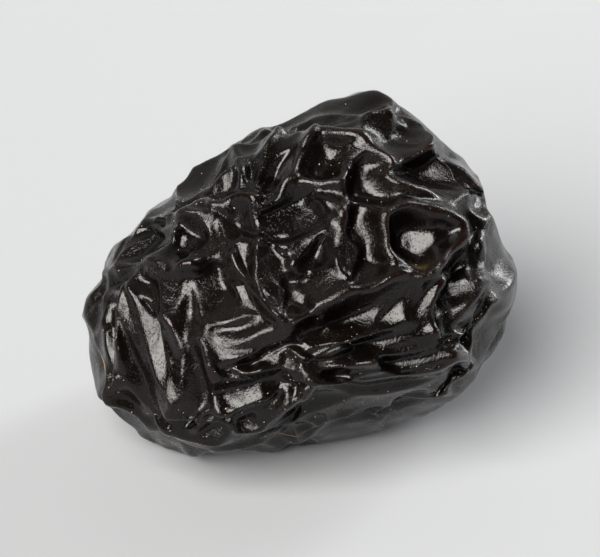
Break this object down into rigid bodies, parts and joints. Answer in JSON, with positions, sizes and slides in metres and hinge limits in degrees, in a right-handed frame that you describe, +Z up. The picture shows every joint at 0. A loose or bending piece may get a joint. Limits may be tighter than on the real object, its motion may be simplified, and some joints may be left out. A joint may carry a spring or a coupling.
{
  "type": "prune",
  "caption": "Whole dried plum with a dark, glossy, deeply wrinkled skin, resting on its side on a small flat spot.",
  "frame": {"origin": "centre of the bounding box at its lowest face, which is the plane of the small flat spot the prune rests on", "axes": "+X along the fruit's longest extent, +Z up, -Y towards the side the picture shows"},
  "size_m": [0.034, 0.0292, 0.0274],
  "materials": {
    "prune_skin": "dark brown-black wrinkled fruit skin, semi-gloss, with fine pores, pale specks and thin golden cracks"
  },
  "bodies": {
    "root": {"prune": "prune_skin"}
  },
  "joints": []
}
